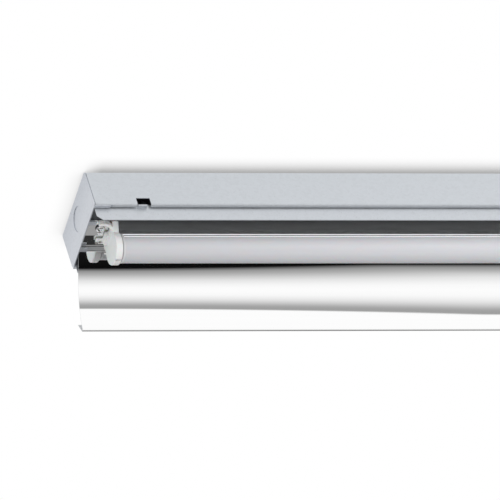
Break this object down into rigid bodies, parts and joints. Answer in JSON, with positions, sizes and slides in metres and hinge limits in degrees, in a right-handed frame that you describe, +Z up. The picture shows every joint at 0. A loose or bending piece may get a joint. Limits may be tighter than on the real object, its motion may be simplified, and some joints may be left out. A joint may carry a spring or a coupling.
{
  "type": "led batten light",
  "caption": "Surface-mounted steel batten light with an open LED tube in rotary lampholders and a one-sided mirror reflector.",
  "frame": {"origin": "middle of the ceiling face, halfway between the two fixing holes", "axes": "+Z up into the ceiling, +X along the light to the right end, +Y towards the side with the reflector's wing"},
  "size_m": [1.258, 0.1074, 0.0943],
  "materials": {
    "galvanised_steel": "galvanised, fine spangle, satin",
    "galvanised_cap": "galvanised, fine spangle, satin",
    "galvanised_tray": "galvanised, fine spangle, satin",
    "mirror_sheet": "anodised mirror aluminium",
    "rivet_metal": "satin",
    "white_plastic": "moulded, soft gloss",
    "rotor_plastic": "moulded, soft gloss",
    "contact_bronze": "sprung bronze",
    "plated_terminal": "nickel plated",
    "chromed_lock": "polished chrome",
    "spring_steel": "blackened",
    "frosted_diffuser": "frosted, satin",
    "tube_aluminium": "extruded, satin",
    "board_white": "white solder mask",
    "led_phosphor": "yellow phosphor, unlit",
    "board_green": "green solder mask",
    "tube_cap_plastic": "moulded, satin",
    "brass_pin": "bright brass",
    "block_plastic": "moulded, matt",
    "brown_insulation": "soft sheath",
    "blue_insulation": "soft sheath",
    "green_insulation": "soft sheath",
    "black_rubber": "matt"
  },
  "bodies": {
    "batten": {"housing": "galvanised_steel", "end_cap_left": "galvanised_cap", "end_cap_right": "galvanised_cap", "end_cap_rivets": "rivet_metal", "lock_bracket_left": "galvanised_steel", "lock_bracket_right": "galvanised_steel", "cable_grommet": "black_rubber", "gear_tray": "galvanised_tray", "reflector": "mirror_sheet", "reflector_rivets": "rivet_metal", "lampholder_left": "white_plastic", "lampholder_right": "white_plastic", "lampholder_cover_left": "white_plastic", "lampholder_cover_right": "white_plastic", "contacts_left": "contact_bronze", "contacts_right": "contact_bronze", "terminals_left": "plated_terminal", "terminals_right": "plated_terminal", "terminal_block": "block_plastic", "terminal_clamps": "brass_pin", "terminal_screws": "plated_terminal", "live_lead": "brown_insulation", "neutral_lead": "blue_insulation", "earth_lead": "green_insulation", "lead_clips": "block_plastic", "earth_stud": "brass_pin", "earth_nut": "brass_pin"},
    "tube": {"rotor_left": "rotor_plastic", "rotor_right": "rotor_plastic", "tube_diffuser": "frosted_diffuser", "tube_heat_sink": "tube_aluminium", "tube_led_board": "board_white", "tube_leds": "led_phosphor", "tube_driver": "board_green", "tube_cap_left": "tube_cap_plastic", "tube_cap_right": "tube_cap_plastic", "tube_pins_left": "brass_pin", "tube_pins_right": "brass_pin"},
    "lock_left": {"tray_lock_left": "chromed_lock", "lock_ring_left": "spring_steel"},
    "lock_right": {"tray_lock_right": "chromed_lock", "lock_ring_right": "spring_steel"}
  },
  "joints": [
    {"name": "tube_twist", "type": "hinge", "parent": "batten", "child": "tube", "pos_m": [0, 0, -0.054], "axis": [1, 0, 0], "range_deg": [0, 90]},
    {"name": "lock_left_turn", "type": "hinge", "parent": "batten", "child": "lock_left", "pos_m": [-0.615, -0.008, -0.035], "axis": [0, 0, 1], "range_deg": [0, 90]},
    {"name": "lock_right_turn", "type": "hinge", "parent": "batten", "child": "lock_right", "pos_m": [0.615, 0.008, -0.035], "axis": [0, 0, 1], "range_deg": [0, 90]}
  ]
}
